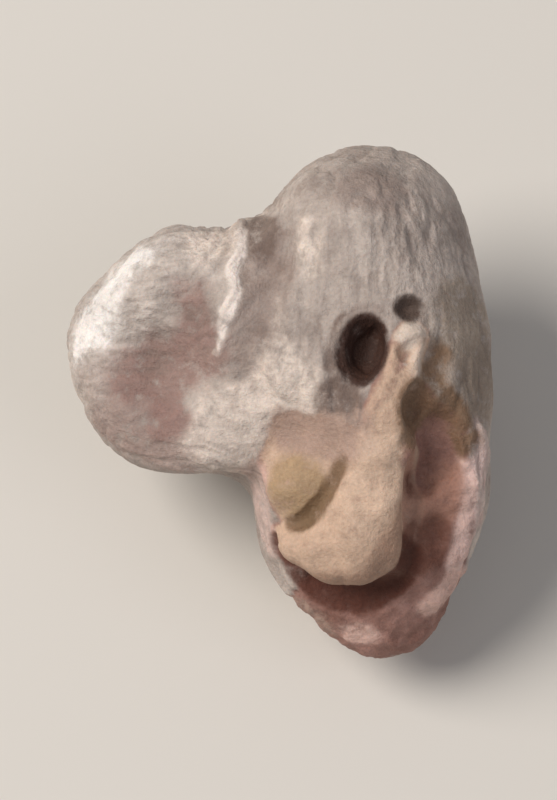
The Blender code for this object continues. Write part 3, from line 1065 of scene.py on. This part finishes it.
def dried_seed_skin():
    """Thin dry seed skin with a little powder: matt and slightly uneven, with no gloss. Among its colour
    layers are painted highlights and painted shade.
    """
    material = bpy.data.materials.new("dried_seed_skin")
    material.use_nodes = True
    tree = material.node_tree
    tree.nodes.clear()
    place = add(tree, "ShaderNodeTexCoord").outputs["Object"]
    noises = {}
    for name, (size, detail, roughness, _) in SKIN_NOISES.items():
        noise = add(tree, "ShaderNodeTexNoise",
                    {"Vector": place, "Scale": 1 / (size * MM), "Detail": detail, "Roughness": roughness})
        noises[name] = add(tree, "ShaderNodeMapRange",
                           {"Value": noise.outputs[0], "From Min": NOISE_RANGE[0], "From Max": NOISE_RANGE[1],
                            "To Min": -1.0, "To Max": 1.0}).outputs[0]
    sides = []
    for (dark, light), layers in ((SKIN_TONES, SKIN_LAYERS), (BROKEN_TONES, BARE_LAYERS)):
        half = add(tree, "ShaderNodeMath", {0: noises["mottle"], 1: 0.5, 2: 0.5}, operation="MULTIPLY_ADD")
        colour = add(tree, "ShaderNodeMix",
                     {"Factor": half.outputs[0], "A": hex_colour(dark), "B": hex_colour(light)},
                     data_type="RGBA").outputs["Result"]
        sides.append(overlay(tree, colour, layers, noises["speck"]))
    bare = add(tree, "ShaderNodeAttribute", attribute_name="bare").outputs["Fac"]
    colour = add(tree, "ShaderNodeMix", {"Factor": bare, "A": sides[0], "B": sides[1]},
                 data_type="RGBA").outputs["Result"]
    colour = overlay(tree, colour, DEEP_LAYERS, noises["speck"])
    for name, (_, _, _, contrast) in SKIN_NOISES.items():
        shade = add(tree, "ShaderNodeMath", {0: noises[name], 1: contrast, 2: 1.0},
                    operation="MULTIPLY_ADD").outputs[0]
        colour = add(tree, "ShaderNodeVectorMath", {0: colour, "Scale": shade}, operation="SCALE").outputs[0]
    way = add(tree, "ShaderNodeAttribute", attribute_name="wrinkle_way").outputs["Vector"]
    fine = add(tree, "ShaderNodeTexNoise",
               {"Vector": way, "Scale": 1 / (FINE_WRINKLE * MM), "Detail": 3.0, "Distortion": 0.5}).outputs[0]
    skinned = add(tree, "ShaderNodeMath", {0: 1.0, 1: bare}, operation="SUBTRACT").outputs[0]
    normal = None
    for height, depth, share in (
        (noises["powder"], POWDER_HEIGHT, 1.0),
        (noises["speck"], SPECK_HEIGHT, 1.0),
        (fine, FINE_WRINKLE_DEPTH, skinned),
    ):
        given = {"Height": height, "Distance": depth, "Strength": share}
        if normal is not None:
            given["Normal"] = normal
        normal = add(tree, "ShaderNodeBump", given).outputs[0]
    shader = add(tree, "ShaderNodeBsdfPrincipled",
                 {"Base Color": colour, "Roughness": 0.75, "Normal": normal,
                  "Subsurface Weight": 0.2, "Subsurface Scale": SOFTNESS,
                  "Subsurface Radius": (1.0, 0.6, 0.4)})
    add(tree, "ShaderNodeOutputMaterial", {"Surface": shader.outputs[0]})
    return material


def overlay(tree, colour, layers, uneven):
    """Lays colours over a colour, each where the skin's mask of that name says."""
    for layer, shade, strength, ragged in layers:
        mask = add(tree, "ShaderNodeAttribute", attribute_name=layer).outputs["Fac"]
        swing = add(tree, "ShaderNodeMath", {0: uneven, 1: ragged, 2: 1.0},
                    operation="MULTIPLY_ADD").outputs[0]
        wander = add(tree, "ShaderNodeMath", {0: mask, 1: swing}, operation="MULTIPLY").outputs[0]
        share = add(tree, "ShaderNodeMapRange",
                    {"Value": wander, "From Min": MASK_RANGE[0], "From Max": MASK_RANGE[1],
                     "To Max": strength},
                    interpolation_type="SMOOTHSTEP").outputs[0]
        colour = add(tree, "ShaderNodeMix", {"Factor": share, "A": colour, "B": hex_colour(shade)},
                     data_type="RGBA").outputs["Result"]
    return colour


# ---------------------------------------------------------------------------------------------
# Studio
# ---------------------------------------------------------------------------------------------

VIEW_ELEVATION = 70.0
VIEW_HEIGHT = 34.3 * MM
LENS = 250.0
SENSOR = 36.0
AIM = (-0.2, 0.0, 0.0)  # the place of the kernel that the camera looks at
FLOOR_REACH = 2.0
# light: direction, distance, width, watts, colour
LIGHTS = {
    "key": ((-0.8, 0.1, 1.1), 0.5, 0.3, 2.3, "#fffaf5"),
    "fill": ((0.8, -0.4, 0.9), 0.6, 0.4, 0.5, "#f4f4ff"),
}
ROOM_COLOUR = "#e4e6ea"
ROOM_STRENGTH = 0.3


def make_floor():
    mesh = bpy.data.meshes.new("floor")
    corners = [(x * FLOOR_REACH, y * FLOOR_REACH, 0) for x, y in ((-1, -1), (1, -1), (1, 1), (-1, 1))]
    mesh.from_pydata(corners, [], [(0, 1, 2, 3)])
    floor = bpy.data.objects.new("floor", mesh)
    bpy.context.scene.collection.objects.link(floor)
    # Plain matt card: only the shadow shows on it
    material = bpy.data.materials.new("pale_card")
    material.use_nodes = True
    shader = material.node_tree.nodes["Principled BSDF"]
    shader.inputs["Base Color"].default_value = hex_colour("#d8d3cb")
    shader.inputs["Roughness"].default_value = 0.9
    mesh.materials.append(material)


def add_light(name, direction, distance, width, watts, colour):
    light = bpy.data.lights.new(name, "AREA")
    light.shape = "DISK"
    light.size = width
    light.energy = watts
    light.color = hex_colour(colour)[:3]
    lamp = bpy.data.objects.new(name, light)
    bpy.context.scene.collection.objects.link(lamp)
    away = Vector(direction).normalized()
    lamp.location = away * distance
    lamp.rotation_euler = away.to_track_quat("Z", "Y").to_euler()


def make_studio():
    make_floor()
    for name, lamp in LIGHTS.items():
        add_light(name, *lamp)
    world = bpy.data.worlds.new("studio")
    world.use_nodes = True
    background = world.node_tree.nodes["Background"]
    background.inputs["Color"].default_value = hex_colour(ROOM_COLOUR)
    background.inputs["Strength"].default_value = ROOM_STRENGTH
    bpy.context.scene.world = world
    bpy.context.scene.view_settings.view_transform = "Standard"


def make_camera():
    camera = bpy.data.cameras.new("camera")
    camera.lens = LENS
    camera.sensor_width = SENSOR
    camera.clip_start = 0.01
    camera.clip_end = 10.0
    stand = bpy.data.objects.new("camera", camera)
    bpy.context.scene.collection.objects.link(stand)
    elevation = math.radians(VIEW_ELEVATION)
    away = Vector((0.0, -math.cos(elevation), math.sin(elevation)))
    aim = Vector(to_frame(np.array(AIM)[None])[0])
    stand.location = aim + away * (VIEW_HEIGHT * LENS / SENSOR)
    stand.rotation_euler = away.to_track_quat("Z", "Y").to_euler()
    bpy.context.scene.camera = stand


# ---------------------------------------------------------------------------------------------
# The whole scene
# ---------------------------------------------------------------------------------------------

kernel = make_kernel()
grow_skin(kernel, dried_seed_skin())
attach(kernel, "root")
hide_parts("dried_kernel")
make_studio()
make_camera()
